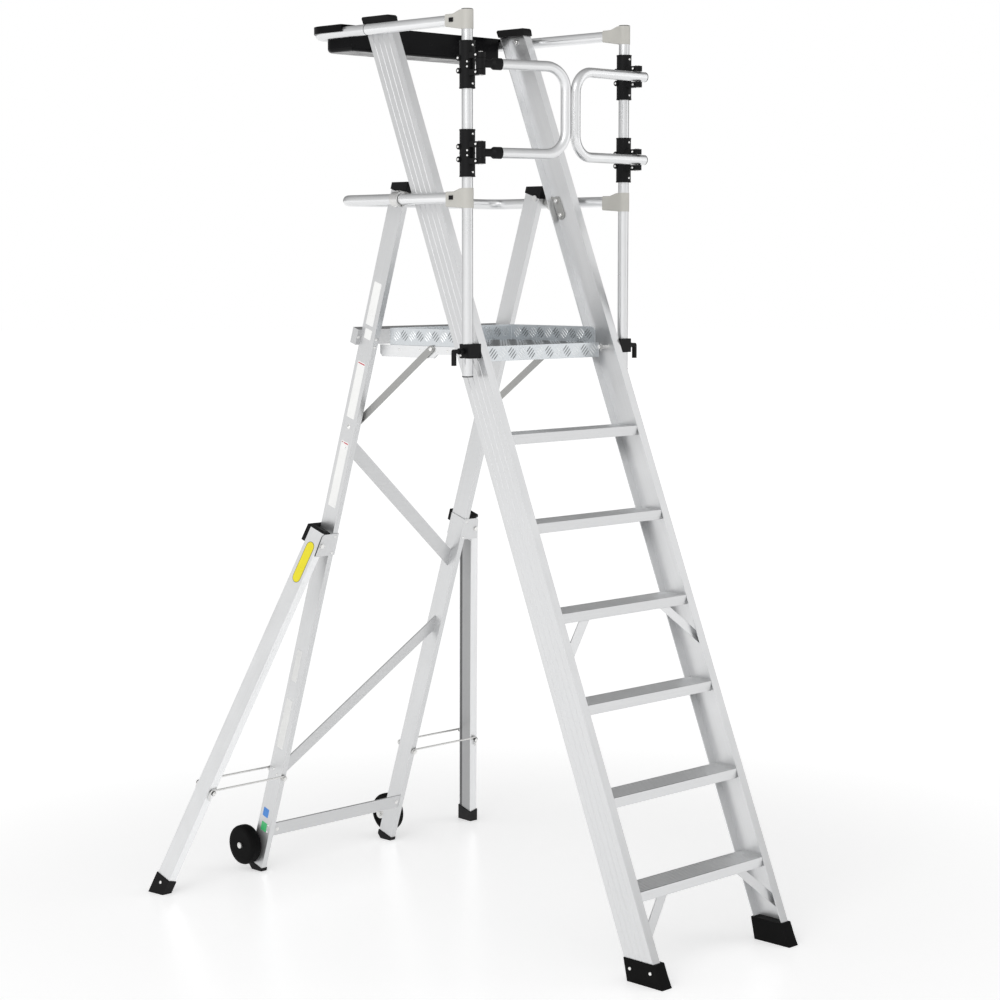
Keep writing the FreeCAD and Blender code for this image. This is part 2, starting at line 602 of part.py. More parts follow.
def outrigger_bar():
    half_x, half_y, wall = 14.0, 30.0, 2.5
    outer = box(OUTRIGGER_X - half_x, OUTRIGGER_X + half_x, -half_y, half_y, -60.0, OUTRIGGER_HINGE + 38.0)
    hollow = box(OUTRIGGER_X - half_x + wall, OUTRIGGER_X + half_x - wall, -half_y + wall, half_y - wall,
                 -70.0, OUTRIGGER_HINGE + 40.0)
    hinge = rod(V(OUTRIGGER_X, -40, OUTRIGGER_HINGE), V(OUTRIGGER_X, 40, OUTRIGGER_HINGE), 5.0 + FIT)
    bar = splayed(outer.cut(hollow).cut(hinge))
    bar = bar.cut(box(500.0, 900.0, 1600.0, 1950.0, -200.0, 14.0))
    return bar.cut(stand(rod(V(STAY_OUTER_X, -50, STAY_S), V(STAY_OUTER_X, 50, STAY_S), 4.0)))


def outrigger_foot():
    shoe = splayed(box(OUTRIGGER_X - 16.5, OUTRIGGER_X + 16.5, -32.5, 32.5, -90.0, 6.0))
    shoe = shoe.cut(box(500.0, 900.0, 1600.0, 1950.0, -200.0, 0.0))
    core = splayed(box(OUTRIGGER_X - 14, OUTRIGGER_X + 14, -30, 30, -80.0, 60.0))
    core = core.cut(box(500.0, 900.0, 1600.0, 1950.0, -200.0, 14.0))
    return shoe.cut(core)


def outrigger_cap():
    top = OUTRIGGER_HINGE + 38.0
    return splayed(box(OUTRIGGER_X - 15, OUTRIGGER_X + 15, -30, 30, top, top + 9.0))


def through_bolt(x, s, radius, reach, head_r):
    """A bolt along the rear frame's depth, with a head at each end."""
    shank = rod(V(x, -reach, s), V(x, reach, s), radius)
    heads = [rod(V(x, side * reach, s), V(x, side * (reach + 3.0), s), head_r) for side in (-1, 1)]
    return stand(fuse([shank] + heads))


def outrigger_bracket():
    """A flat plate across the fronts of the leg and the outrigger, turned back along the leg's inner face."""
    low, high = OUTRIGGER_HINGE - 36.0, OUTRIGGER_HINGE + 38.0
    outline = [(LEG_IN - 3.0, low), (352.0, low), (340.0, high - 8.0), (332.0, high), (LEG_IN - 3.0, high)]
    front = plate_y(outline, -LEG_HALF_DEPTH - 3.0, -LEG_HALF_DEPTH)
    inner = box(LEG_IN - 3.0, LEG_IN, -LEG_HALF_DEPTH, LEG_HALF_DEPTH, low, high)
    hinge_hole = rod(V(OUTRIGGER_X, -50, OUTRIGGER_HINGE), V(OUTRIGGER_X, 50, OUTRIGGER_HINGE), 5.0)
    return stand(fuse([front, inner]).cut(hinge_hole))


def outrigger_block():
    """The moulding behind the leg and the outrigger that carries the hinge bolt's end."""
    hinge = OUTRIGGER_HINGE
    outline = [(LEG_IN, hinge + 6.0), (312.0, hinge + 6.0), (322.0, hinge - 13.0), (353.0, hinge - 8.0),
               (338.0, hinge + 44.0), (LEG_IN, hinge + 44.0)]
    shape = plate_y(outline, LEG_HALF_DEPTH, LEG_HALF_DEPTH + 15.0)
    return stand(shape.cut(rod(V(OUTRIGGER_X, 0, hinge), V(OUTRIGGER_X, 60, hinge), 5.0)))


def stay(side):
    """A rod from the leg's bolt, hooked over the outrigger's bolt. side is -1 in front, 1 behind."""
    inner_x = 287.0
    depth = side * (LEG_HALF_DEPTH + 5.0)
    over = 7.2
    eye = rod(V(inner_x, depth - 3, STAY_S), V(inner_x, depth + 3, STAY_S), 9.5)
    points = [V(inner_x + 2, depth, STAY_S + over), V(STAY_OUTER_X + 9, depth, STAY_S + over),
              V(STAY_OUTER_X + 9, depth, STAY_S - 26)]
    bar = bent_rod(points, 9.0, 3.0)
    shape = fuse([eye, bar])
    return stand(shape.cut(rod(V(inner_x, depth - 5, STAY_S), V(inner_x, depth + 5, STAY_S), 4.0 + FIT)))


# ----------------------------------------------------------------- platform and struts
def deck():
    """A sheet with a turned-down front lip and toe boards at its two sides and its rear."""
    top = PLATFORM_TOP
    rim = top + TOE_BOARD
    sheet = box(-DECK_HALF, DECK_HALF, DECK_FRONT, DECK_REAR, top - DECK_SKIN, top)
    lip = box(-DECK_HALF, DECK_HALF, DECK_FRONT, DECK_FRONT + DECK_SKIN, top - 45.0, top)
    outline = [(770.0, top - DECK_SKIN), (DECK_REAR, top - DECK_SKIN), (DECK_REAR, rim), (782.0, rim),
               (770.0, rim - 10.0)]
    side = plate_x(outline, DECK_HALF - DECK_SKIN, DECK_HALF)
    rear = box(-DECK_HALF, DECK_HALF, DECK_REAR - DECK_SKIN, DECK_REAR, top, rim)
    return fuse([sheet, lip, side, mirrored(side), rear])


def deck_rail():
    """The side rail under the deck's edge, deeper behind the strut's rivet."""
    underside = PLATFORM_TOP - DECK_SKIN
    shallow, deep = 1722.0, 1710.0
    outline = [(762.0, underside), (762.0, shallow), (925.0, shallow), (942.0, deep), (DECK_RAIL_REAR - 10, deep),
               (DECK_RAIL_REAR, deep + 10), (DECK_RAIL_REAR, underside)]
    rail = plate_x(outline, RAIL_IN, RAIL_OUT)
    nose = rod(V(RAIL_IN, DECK_PIN_Y, DECK_PIN_Z), V(RAIL_OUT, DECK_PIN_Y, DECK_PIN_Z), 11.0)
    rail = fuse([rail, nose])
    return rail.cut(box(RAIL_IN - 1, RAIL_OUT + 1, 700.0, DECK_FRONT + DECK_SKIN, 1700.0, 1760.0))


def deck_pin():
    """The pin that carries the platform in a stile's web."""
    y0 = DECK_PIN_Y
    shank = rod(V(RAIL_OUT, y0, DECK_PIN_Z), V(STILE_OUT + 0.5, y0, DECK_PIN_Z), 6.0)
    collar = rod(V(RAIL_OUT, y0, DECK_PIN_Z), V(RAIL_OUT + 4, y0, DECK_PIN_Z), 11.0)
    return fuse([shank, collar])


def strut():
    y0, z0 = STRUT_FOOT_Y, STRUT_FOOT_Z
    y1, z1 = STRUT_TOP_Y, STRUT_TOP_Z
    bar = link_x([(y1, z1), (y0, z0)], 11.0, STRUT_IN, STRUT_OUT)
    head = rod(V(STRUT_OUT, y1, z1), V(STRUT_OUT + 1.2, y1, z1), 7.0)
    bore = rod(V(STRUT_IN - 1, y0, z0), V(STRUT_OUT + 1, y0, z0), 5.0 + FIT)
    return fuse([bar, head]).cut(bore)


def rear_pins():
    """Bolts fixed in a rear leg: the fold pin, the strut's pin, the outrigger's and the stay's."""
    y0, z0 = FOLD_Y, FOLD_Z
    collars = [(LEG_IN - 4, LEG_IN), (LEG_OUT, LINK_IN - 0.1), (313.1, 315.5)]
    shank = rod(V(LEG_IN - 4, y0, z0), V(315.5, y0, z0), FOLD_PIN_R)
    fold = fuse([shank] + [rod(V(start, y0, z0), V(end, y0, z0), 9.5) for start, end in collars])
    y1, z1 = STRUT_FOOT_Y, STRUT_FOOT_Z
    strut_pin = fuse([rod(V(STRUT_IN - 0.4, y1, z1), V(LEG_OUT, y1, z1), 5.0),
                      rod(V(STRUT_OUT + 0.4, y1, z1), V(LEG_IN, y1, z1), 9.0),
                      rod(V(STRUT_IN - 3.4, y1, z1), V(STRUT_IN - 0.4, y1, z1), 8.0)])
    x, s = OUTRIGGER_X, OUTRIGGER_HINGE
    reach = LEG_HALF_DEPTH + 3.0
    hinge_shank = rod(V(x, -reach, s), V(x, reach, s), 5.0)
    hinge_head = rod(V(x, -reach - 3, s), V(x, -reach, s), 8.0)
    hinge_bolt = stand(fuse([hinge_shank, hinge_head]))
    stay_bolt = through_bolt(287.0, STAY_S, 4.0, LEG_HALF_DEPTH + 8.6, 8.0)
    return [fold, strut_pin, hinge_bolt, stay_bolt]


# ------------------------------------------------------------------------- assembly
right = right_stile()
save("stile_right", [right])
save("stile_left", [mirrored(right)])
save("boots", both(boot_solid()))
save("stile_caps", both(cap_solid()))
for step in range(1, TREAD_COUNT + 1):
    save("tread_%d" % step, [tread(step)])
save("tread_braces", both(tread_brace(1)) + both(tread_brace(4)))
save("post_right", [post()])
save("post_left", [mirrored(post())])
save("rail_elbows", both(elbow()))
save("rail_tees", both(tee()))
save("upper_rail_arms", both(rail_arm(UPPER_RAIL_Z, UPPER_SEAM_Y)))
save("upper_rail_loop", [rail_loop(UPPER_RAIL_Z, UPPER_SEAM_Y, UPPER_REAR_Y)])
save("lower_rail_arms", both(rail_arm(LOWER_RAIL_Z, LOWER_SEAM_Y)))
save("lower_rail_loop", [rail_loop(LOWER_RAIL_Z, LOWER_SEAM_Y, LOWER_REAR_Y)])
save("ring_clamps", both(ring_clamp()))
elbow_plug = side_plug(770.0, UPPER_RAIL_Z)
tee_plug = side_plug(772.0, LOWER_RAIL_Z)
save("side_plugs", both(elbow_plug) + both(tee_plug))
save("post_clamps", both(post_clamp()))
right_collars = [gate_collar(GATE_UPPER_Z), gate_collar(GATE_LOWER_Z)]
save("gate_hinges_right", right_collars)
save("gate_hinges_left", [mirrored(collar) for collar in right_collars])
save("gate_pins", both(gate_pin(GATE_UPPER_Z)) + both(gate_pin(GATE_LOWER_Z)))
save("fold_plates", both(fold_plate()))
frame_bolts = rail_bolt() + stile_rivets()
save("frame_bolts", frame_bolts + [mirrored(bolt) for bolt in frame_bolts])
save("tool_tray", [tool_tray()])

save("gate_right_loop", [gate_loop(-30.0).cut(pin_bore())])
save("gate_right_plugs", [pointed_plug(GATE_UPPER_Z), pointed_plug(GATE_LOWER_Z)])
save("gate_left_loop", [swung(gate_loop(44.0))])
save("gate_left_sockets", [swung(gate_socket(GATE_UPPER_Z)), swung(gate_socket(GATE_LOWER_Z))])
save("clamp_lever_right", [clamp_lever()])
save("clamp_lever_left", [mirrored(clamp_lever())])

save("rear_leg_right", [rear_leg()])
save("rear_leg_left", [mirrored(rear_leg())])
save("leg_caps", both(leg_cap()))
save("leg_feet", both(leg_foot()))
save("brace_upper", [brace(1432.0, 1017.0)])
save("brace_lower", [brace(348.0, 787.0)])
save("bottom_crossbar", [bottom_crossbar()])
save("rear_beam", [rear_beam()])
save("wheel_brackets", both(wheel_bracket()))
save("wheel_axles", both(wheel_axle()))
save("outrigger_brackets", both(outrigger_bracket()))
save("outrigger_blocks", both(outrigger_block()))
save("rear_pins", rear_pins() + [mirrored(pin) for pin in rear_pins()])
save("wheel_right", [wheel()])
save("wheel_left", [mirrored(wheel())])

outrigger_fittings = [outrigger_foot(), outrigger_cap(),
                      through_bolt(STAY_OUTER_X, STAY_S, 4.0, LEG_HALF_DEPTH + 8.6, 8.0)]
save("outrigger_right", [outrigger_bar()])
save("outrigger_left", [mirrored(outrigger_bar())])
save("outrigger_fittings_right", outrigger_fittings)
save("outrigger_fittings_left", [mirrored(fitting) for fitting in outrigger_fittings])
stays = [stay(-1), stay(1)]
save("stays_right", stays)
save("stays_left", [mirrored(bar) for bar in stays])

save("platform_deck", [deck()])
save("platform_rails", both(deck_rail()))
save("platform_pins", both(deck_pin()))
save("strut_right", [strut()])
save("strut_left", [mirrored(strut())])
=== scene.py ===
import json
import math

import bmesh
import bpy
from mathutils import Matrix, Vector


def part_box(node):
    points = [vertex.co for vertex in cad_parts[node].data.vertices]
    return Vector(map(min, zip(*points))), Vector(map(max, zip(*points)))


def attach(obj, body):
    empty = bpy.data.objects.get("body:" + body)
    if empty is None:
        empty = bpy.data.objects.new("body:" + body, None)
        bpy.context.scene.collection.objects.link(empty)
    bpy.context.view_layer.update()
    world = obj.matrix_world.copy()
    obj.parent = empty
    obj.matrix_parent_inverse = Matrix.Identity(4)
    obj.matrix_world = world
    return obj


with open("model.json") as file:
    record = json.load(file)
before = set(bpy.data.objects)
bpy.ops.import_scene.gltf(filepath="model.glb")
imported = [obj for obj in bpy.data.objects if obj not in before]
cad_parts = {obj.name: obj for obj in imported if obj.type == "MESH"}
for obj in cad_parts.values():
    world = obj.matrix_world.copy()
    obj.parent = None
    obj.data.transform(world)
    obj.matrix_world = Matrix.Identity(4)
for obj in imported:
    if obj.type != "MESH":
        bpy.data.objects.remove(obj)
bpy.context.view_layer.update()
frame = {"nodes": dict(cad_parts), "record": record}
NODES = frame["nodes"]
MM = 0.001

X = Vector((1, 0, 0))
Y = Vector((0, 1, 0))
Z = Vector((0, 0, 1))

# ------------------------------------------------------- directions taken from the frame
STILE_LOW, STILE_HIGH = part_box("stile_right")
STILE_DEPTH = 107.6 * MM
STILE_WAY = Vector((0, STILE_HIGH.y - STILE_LOW.y - STILE_DEPTH,
                    STILE_HIGH.z - STILE_LOW.z)).normalized()
LEG_ANGLE = math.radians(18.0)
LEG_WAY = Vector((0, -math.sin(LEG_ANGLE), math.cos(LEG_ANGLE)))
LEG_OUT = Vector((0, math.cos(LEG_ANGLE), math.sin(LEG_ANGLE)))
SPLAY = math.radians(16.4)


def outrigger_way(side):
    """The direction up an outrigger; side is 1 on the right and -1 on the left."""
    return (LEG_WAY * math.cos(SPLAY) - X * side * math.sin(SPLAY)).normalized()


# ------------------------------------------------------------------------ materials
def new_material(name):
    """A new node material with its nodes, links and surface shader."""
    material = bpy.data.materials.new(name)
    material.use_nodes = True
    nodes = material.node_tree.nodes
    return material, nodes, material.node_tree.links, nodes["Principled BSDF"]


def add(nodes, kind, **inputs):
    """A node of that kind with its named inputs set."""
    node = nodes.new(kind)
    for key, value in inputs.items():
        node.inputs[key.replace("_", " ")].default_value = value
    return node


def ramp(nodes, stops):
    """A colour ramp through the stops, each a position and a colour."""
    node = nodes.new("ShaderNodeValToRGB")
    node.color_ramp.elements[0].position, node.color_ramp.elements[0].color = stops[0]
    node.color_ramp.elements[1].position, node.color_ramp.elements[1].color = stops[-1]
    for position, colour in stops[1:-1]:
        node.color_ramp.elements.new(position).color = colour
    return node


def grey(value, tint=(1.0, 1.0, 1.0)):
    """A tinted grey with full alpha."""
    return (value * tint[0], value * tint[1], value * tint[2], 1.0)


def uneven_gloss(nodes, links, shader, clouds, low, high):
    """Roughness that wanders between low and high with the clouds."""
    spread = add(nodes, "ShaderNodeMapRange", From_Min=0.3, From_Max=0.7, To_Min=low, To_Max=high)
    links.new(clouds.outputs["Fac"], spread.inputs["Value"])
    links.new(spread.outputs["Result"], shader.inputs["Roughness"])


def relief(nodes, links, shader, grain, strength, distance):
    """A fine bump that follows the grain."""
    bump = add(nodes, "ShaderNodeBump", Strength=strength, Distance=distance)
    links.new(grain.outputs["Fac"], bump.inputs["Height"])
    links.new(bump.outputs["Normal"], shader.inputs["Normal"])


METALLIC = 0.9
SMUDGE = 0.05
STREAK_LENGTH = 60.0
STREAK_SCALE, SMUDGE_SCALE, UNEVEN_SCALE = 260.0, 7.0, 16.0
METAL_RELIEF, MOULDED_RELIEF = 0.0004, 0.0003
COOL_TINT = (0.985, 0.992, 1.0)
CHEQUER_TINT = (0.93, 0.97, 1.0)


def metal(name, base, rough, way=None, tint=COOL_TINT, streak=0.025, bump=0.02):
    """Drawn or rolled metal: fine streaks along its way, cloudy handling marks, a faint grain."""
    material, nodes, links, shader = new_material(name)
    shader.inputs["Metallic"].default_value = METALLIC
    coords = nodes.new("ShaderNodeTexCoord")
    place = nodes.new("ShaderNodeMapping")
    place.vector_type = "TEXTURE"
    if way is not None:
        place.inputs["Rotation"].default_value = Vector(way).to_track_quat("Z", "Y").to_euler()
        place.inputs["Scale"].default_value = (1.0, 1.0, STREAK_LENGTH)
    links.new(coords.outputs["Object"], place.inputs["Vector"])
    streaks = add(nodes, "ShaderNodeTexNoise", Scale=STREAK_SCALE, Detail=3.0, Roughness=0.6)
    links.new(place.outputs["Vector"], streaks.inputs["Vector"])
    clouds = add(nodes, "ShaderNodeTexNoise", Scale=SMUDGE_SCALE, Detail=5.0, Roughness=0.55)
    links.new(coords.outputs["Object"], clouds.inputs["Vector"])
    shade = ramp(nodes, [(0.25, grey(base * (1 - streak), tint)),
                         (0.75, grey(min(1.0, base * (1 + streak)), tint))])
    links.new(streaks.outputs["Fac"], shade.inputs["Fac"])
    smudge_and_painted_shade = ramp(nodes, [(0.3, grey(1.0 - SMUDGE)), (0.7, grey(1.0))])
    links.new(clouds.outputs["Fac"], smudge_and_painted_shade.inputs["Fac"])
    mix = nodes.new("ShaderNodeMixRGB")
    mix.blend_type = "MULTIPLY"
    mix.inputs["Fac"].default_value = 1.0
    links.new(shade.outputs["Color"], mix.inputs["Color1"])
    links.new(smudge_and_painted_shade.outputs["Color"], mix.inputs["Color2"])
    links.new(mix.outputs["Color"], shader.inputs["Base Color"])
    uneven_gloss(nodes, links, shader, clouds, rough - 0.06, rough + 0.07)
    relief(nodes, links, shader, streaks, bump, METAL_RELIEF)
    return material


def moulded(name, colour, rough, grain=300.0, bump=0.02, vary=0.08, dust=0.0, shine=0.5):
    """Moulded plastic or rubber: a fine pebbled grain, uneven gloss and, if asked, pale dust."""
    material, nodes, links, shader = new_material(name)
    shader.inputs["Specular IOR Level"].default_value = shine
    coords = nodes.new("ShaderNodeTexCoord")
    pebble = add(nodes, "ShaderNodeTexNoise", Scale=grain, Detail=2.0, Roughness=0.5)
    clouds = add(nodes, "ShaderNodeTexNoise", Scale=UNEVEN_SCALE, Detail=4.0, Roughness=0.6)
    for noise in (pebble, clouds):
        links.new(coords.outputs["Object"], noise.inputs["Vector"])
    low = tuple(channel * (1 - vary) for channel in colour) + (1.0,)
    high = tuple(min(1.0, channel * (1 + vary) + dust) for channel in colour) + (1.0,)
    shade = ramp(nodes, [(0.32, low), (0.72, high)])
    links.new(clouds.outputs["Fac"], shade.inputs["Fac"])
    links.new(shade.outputs["Color"], shader.inputs["Base Color"])
    uneven_gloss(nodes, links, shader, clouds, rough - 0.08, rough + 0.1)
    relief(nodes, links, shader, pebble, bump, MOULDED_RELIEF)
    return material


STILE_METAL = metal("stile_metal", 0.72, 0.36, STILE_WAY)
LEG_METAL = metal("leg_metal", 0.69, 0.38, LEG_WAY)
CROSS_METAL = metal("cross_metal", 0.63, 0.38, X)
TREAD_METAL = metal("tread_metal", 0.72, 0.38, X)
POST_METAL = metal("post_metal", 0.71, 0.30, Z, bump=0.006)
RAIL_METAL = metal("rail_metal", 0.87, 0.30, Y, bump=0.006)
BENT_METAL = metal("bent_metal", 0.78, 0.30, bump=0.006)
STRAP_METAL = metal("strap_metal", 0.42, 0.42, tint=(1.0, 1.0, 0.975))
# Painted shade: dark sheets on each outrigger's inner side stand for the shaded inside of an open
# channel; the darker one is the painted shadow of its rear flange.
PAINTED_SHADE_PANEL = metal("painted_shade_panel", 0.43, 0.42, Z)
INSIDE_SHADE = metal("inside_shade", 0.15, 0.50, Z)
CHEQUER_METAL = metal("chequer_metal", 0.74, 0.30, tint=CHEQUER_TINT, streak=0.06)
# Painted sheen and painted shade: bright bars stand for chequer bars catching the light, dark bars
# for bars turned away from it.
BAR_PAINTED_SHEEN = metal("bar_painted_sheen", 0.86, 0.30, tint=(0.97, 0.99, 1.0))
BAR_SHADE = metal("bar_shade", 0.30, 0.36, tint=CHEQUER_TINT)
ZINC = metal("zinc", 0.72, 0.32, tint=(1.0, 0.995, 0.98), streak=0.10, bump=0.12)
SCREW = metal("screw_steel", 0.86, 0.22, tint=(1.0, 0.998, 0.985), streak=0.05)
FITTING = moulded("fitting_plastic", (0.50, 0.49, 0.455), 0.42, grain=700.0, bump=0.08, vary=0.05)
BLACK = moulded("black_plastic", (0.005, 0.005, 0.0054), 0.46, grain=900.0, bump=0.14, vary=0.25,
                shine=0.15)
TRAY_BLACK = moulded("tray_black", (0.004, 0.004, 0.0045), 0.20, grain=400.0, vary=0.2, shine=0.06)
RUBBER = moulded("black_rubber", (0.004, 0.004, 0.004), 0.55, grain=600.0, bump=0.16, vary=0.3,
                 dust=0.0015, shine=0.06)
LABEL_WHITE = moulded("label_white", (0.86, 0.86, 0.85), 0.34, vary=0.03)
LABEL_YELLOW = moulded("label_yellow", (0.82, 0.72, 0.02), 0.30, vary=0.05)
LABEL_BLUE = moulded("label_blue", (0.06, 0.26, 0.72), 0.30)
LABEL_GREEN = moulded("label_green", (0.06, 0.52, 0.18), 0.30)
LABEL_RED = moulded("label_red", (0.55, 0.06, 0.08), 0.35)
LABEL_DARK = moulded("label_dark", (0.02, 0.02, 0.02), 0.35, vary=0.1)

FINISHES = {
    "stile_right": STILE_METAL, "stile_left": STILE_METAL,
    "rear_leg_right": LEG_METAL, "rear_leg_left": LEG_METAL, "outrigger_brackets": LEG_METAL,
    # Painted light and shade: the two outriggers share one metal, darker on the right and lighter
    # on the left as the light falls on them.
    "outrigger_right": metal("outrigger_metal_right_painted_shade", 0.82, 0.37, outrigger_way(1)),
    "outrigger_left": metal("outrigger_metal_left_painted_light", 0.90, 0.37, outrigger_way(-1)),
    "brace_upper": CROSS_METAL, "brace_lower": CROSS_METAL, "bottom_crossbar": CROSS_METAL,
    "rear_beam": CROSS_METAL, "tread_braces": metal("brace_metal", 0.80, 0.40),
    "strut_right": STRAP_METAL, "strut_left": STRAP_METAL, "fold_plates": STRAP_METAL,
    "platform_deck": CHEQUER_METAL, "platform_rails": RAIL_METAL,
    "post_right": POST_METAL, "post_left": POST_METAL,
    "upper_rail_arms": RAIL_METAL, "lower_rail_arms": RAIL_METAL,
    "upper_rail_loop": BENT_METAL, "lower_rail_loop": BENT_METAL,
    "gate_right_loop": BENT_METAL, "gate_left_loop": BENT_METAL, "tool_tray": TRAY_BLACK,
}
SLOT_FINISHES = {
    "tread_aluminium": TREAD_METAL, "grey_plastic": FITTING, "black_plastic": BLACK,
    "black_rubber": RUBBER, "zinc_steel": ZINC,
}
SLOT_OF = {row["node"]: row["material_slot"] for row in frame["record"]["subparts"]}


# The width in millimetres of the rounding on each cut, bent or moulded part's edges.
EDGED = {
    "boots": 1.5, "stile_caps": 1.0, "leg_caps": 1.5, "leg_feet": 1.5,
    "outrigger_brackets": 0.6, "outrigger_blocks": 1.5,
    "outrigger_fittings_right": 0.8, "outrigger_fittings_left": 0.8,
    "tread_braces": 0.6, "fold_plates": 0.6, "platform_rails": 0.8, "platform_deck": 0.8,
    "post_clamps": 0.8, "clamp_lever_right": 1.5, "clamp_lever_left": 1.5,
}
EDGED.update({"tread_%d" % step: 0.5 for step in range(1, 7)})
WELD_REACH = 0.00001
ROUNDED_FROM, SHARP_FROM = math.radians(38), math.radians(35)


def soften(thing, width_mm):
    """Round the sharp edges of a piece and keep its flat faces flat."""
    if thing.data.has_custom_normals:
        thing.data.attributes.remove(thing.data.attributes["custom_normal"])
    thing.data.shade_smooth()
    weld = thing.modifiers.new("weld", "WELD")
    weld.merge_threshold = WELD_REACH
    bevel = thing.modifiers.new("edges", "BEVEL")
    bevel.width = width_mm * MM
    bevel.segments = 2
    bevel.limit_method = "ANGLE"
    bevel.angle_limit = ROUNDED_FROM
    bevel.harden_normals = True
    bevel.miter_outer = "MITER_ARC"


def dress_nodes():
    """Give every CAD node its finish and round the edges of the cut and moulded parts."""
    for name, node in NODES.items():
        finish = FINISHES.get(name) or SLOT_FINISHES[SLOT_OF[name]]
        for place in node.material_slots:
            place.material = finish
        if name in EDGED:
            soften(node, EDGED[name])
        else:
            node.data.shade_smooth()


dress_nodes()


# ------------------------------------------------------------------- places on the frame
MIDDLE_Y = 926.0
POST_X, POST_Y = 334.0, 723.0
UPPER_RAIL_Z, LOWER_RAIL_Z = 2684.0, 2180.5
PLATFORM_TOP = 1750.0
LEG_CENTRE_AT_FLOOR = 1773.3
LEG_MIDDLE, LEG_FACE, LEG_HALF_DEPTH = 287.0, 297.0, 31.0
HINGE_X, HINGE_S = 335.0, 1125.0 / math.cos(LEG_ANGLE)
STAY_S = 340.0 / math.cos(LEG_ANGLE)
STAY_X = HINGE_X + (HINGE_S - STAY_S) * math.tan(SPLAY)
OUTRIGGER_HALF = 14.0
SIDES = (-1, 1)


def at(x, y, z):
    """A point given in millimetres from the stiles' front edge on the floor."""
    return Vector((x, y - MIDDLE_Y, z)) * MM


def leg_at(x, d, s):
    """A point on the rear frame: x across, d behind the legs' centre line, s up along the legs."""
    return at(x, 0, 0) + (LEG_OUT * d + LEG_WAY * s + Y * LEG_CENTRE_AT_FLOOR) * MM


def outrigger_at(side, x, d, s):
    """A point on an outrigger: x outward from its centre line, d behind it, s up from its hinge."""
    across = x * math.cos(SPLAY) - s * math.sin(SPLAY)
    up = x * math.sin(SPLAY) + s * math.cos(SPLAY)
    return leg_at(side * (HINGE_X + across), d, HINGE_S + up)


def outrigger_side(side):
    """The direction out of an outrigger's outer face."""
    return (X * side * math.cos(SPLAY) + LEG_WAY * math.sin(SPLAY)).normalized()


# ----------------------------------------------------------------------- piece making
def finish_piece(name, mesh_data, material, body, soften_mm=None, flat=False):
    """Turn a bmesh into a named piece that rides on a body."""
    bmesh.ops.recalc_face_normals(mesh_data, faces=mesh_data.faces)
    mesh = bpy.data.meshes.new(name)
    mesh_data.to_mesh(mesh)
    mesh_data.free()
    mesh.materials.append(material)
    thing = bpy.data.objects.new(name, mesh)
    bpy.context.scene.collection.objects.link(thing)
    if not flat:
        mesh.shade_smooth()
        mesh.set_sharp_from_angle(angle=SHARP_FROM)
    if soften_mm:
        soften(thing, soften_mm)
    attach(thing, body)


def axes(way):
    """Two directions square to way and to each other, and way at length one."""
    way = Vector(way).normalized()
    first = way.cross(Z if abs(way.z) < 0.9 else X).normalized()
    return first, way.cross(first).normalized(), way


def turned(mesh_data, place, way, profile, segments=24, hexes=()):
    """Revolve a profile of (radius, height) in mm about way; rings in hexes are six-sided."""
    first, second, way = axes(way)
    rings = []
    for index, (radius, height) in enumerate(profile):
        ring = []
        for step in range(segments):
            angle = 2 * math.pi * step / segments
            reach = radius
            if index in hexes:
                off_flat = (angle % (math.pi / 3)) - math.pi / 6
                reach = radius * math.cos(math.pi / 6) / math.cos(off_flat)
            out = first * math.cos(angle) + second * math.sin(angle)
            ring.append(mesh_data.verts.new(place + out * reach * MM + way * height * MM))
        rings.append(ring)
    for low, high in zip(rings, rings[1:]):
        for step in range(segments):
            after = (step + 1) % segments
            mesh_data.faces.new((low[step], low[after], high[after], high[step]))
    mesh_data.faces.new(rings[-1])
    mesh_data.faces.new(list(reversed(rings[0])))


def screw(mesh_data, place, way, radius, height):
    """A domed screw head with a six-sided recess."""
    r, h = radius, height
    turned(mesh_data, place, way,
           [(r, -0.4), (r, 0.35 * h), (0.86 * r, 0.72 * h), (0.62 * r, 0.94 * h),
            (0.46 * r, h), (0.42 * r, 0.9 * h), (0.40 * r, 0.35 * h)], hexes=(5, 6))


def rivet(mesh_data, place, way, radius, height):
    """A plain domed rivet with a small flat and a dimple."""
    r, h = radius, height
    turned(mesh_data, place, way,
           [(r, -0.3), (r, 0.12 * h), (0.92 * r, 0.45 * h), (0.72 * r, 0.8 * h),
            (0.42 * r, h), (0.22 * r, h), (0.16 * r, 0.8 * h)])


def nut(mesh_data, place, way, radius, height):
    """A hexagon nut on a round flange, with the bolt's rounded end standing out of it."""
    r, h = radius, height
    turned(mesh_data, place, way,
           [(1.25 * r, -0.2), (1.25 * r, 0.2 * h), (1.02 * r, 0.3 * h), (r, 0.34 * h),
            (r, 0.92 * h), (0.86 * r, h), (0.5 * r, h), (0.5 * r, 1.2 * h), (0.38 * r, 1.3 * h)],
           hexes=(3, 4))


def slab(mesh_data, corner, across, up, outline, thick):
    """A flat plate from an outline in mm along across and up, raised by thick on their normal."""
    rise = across.cross(up).normalized() * thick * MM
    foot = [corner + (across * u + up * v) * MM for u, v in outline]
    low = [mesh_data.verts.new(point) for point in foot]
    high = [mesh_data.verts.new(point + rise) for point in foot]
    mesh_data.faces.new(list(reversed(low)))
    mesh_data.faces.new(high)
    for index in range(len(outline)):
        after = (index + 1) % len(outline)
        mesh_data.faces.new((low[index], low[after], high[after], high[index]))


def rounded(width, height, corner, steps=5):
    """The outline of a rectangle about the origin with round corners."""
    outline = []
    for index, (sx, sy) in enumerate(((1, 1), (-1, 1), (-1, -1), (1, -1))):
        centre = (sx * (width / 2 - corner), sy * (height / 2 - corner))
        for step in range(steps + 1):
            angle = math.pi / 2 * (index + step / steps)
            outline.append((centre[0] + corner * math.cos(angle),
                            centre[1] + corner * math.sin(angle)))
    return outline


